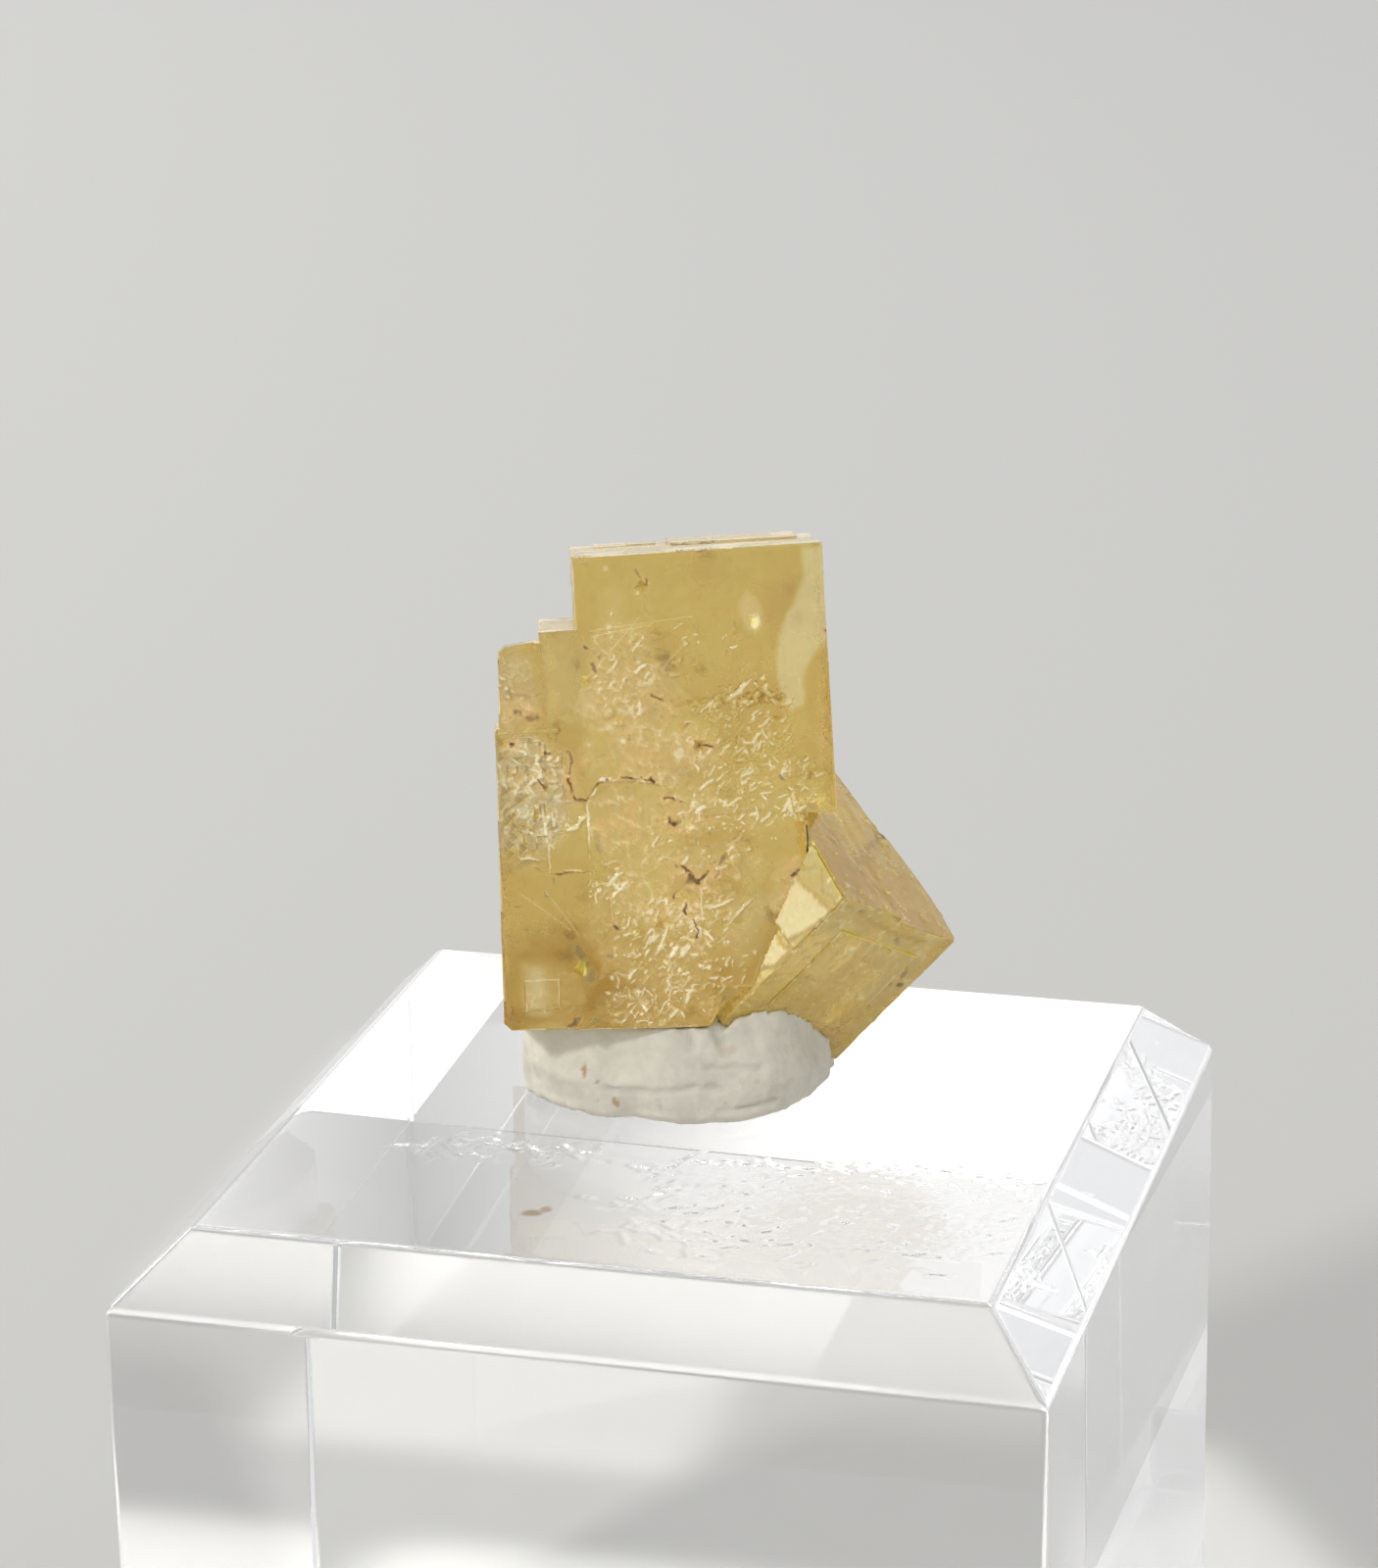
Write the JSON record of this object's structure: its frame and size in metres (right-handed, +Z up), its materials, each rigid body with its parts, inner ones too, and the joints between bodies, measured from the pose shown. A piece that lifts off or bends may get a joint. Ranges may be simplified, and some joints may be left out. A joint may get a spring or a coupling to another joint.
{
  "type": "fluorite specimen",
  "caption": "Stepped, see-through yellow fluorite cubes with a twinned cube at the lower right, set in putty on a clear square display block with bevelled top edges.",
  "frame": {"origin": "centre of the display block's underside", "axes": "+Z up, +X to the right along the block's front face, -Y out of the front"},
  "size_m": [0.0318, 0.0318, 0.0453],
  "materials": {
    "fluorite": "see-through honey-yellow crystal, glassy faces with frosted, pitted and stained patches",
    "putty": "matt off-white putty, pressed and creased by hand",
    "clear_acrylic": "clear polished acrylic"
  },
  "bodies": {
    "root": {"fluorite_cluster": "fluorite", "putty_pad": "putty", "display_block": "clear_acrylic"}
  },
  "joints": []
}
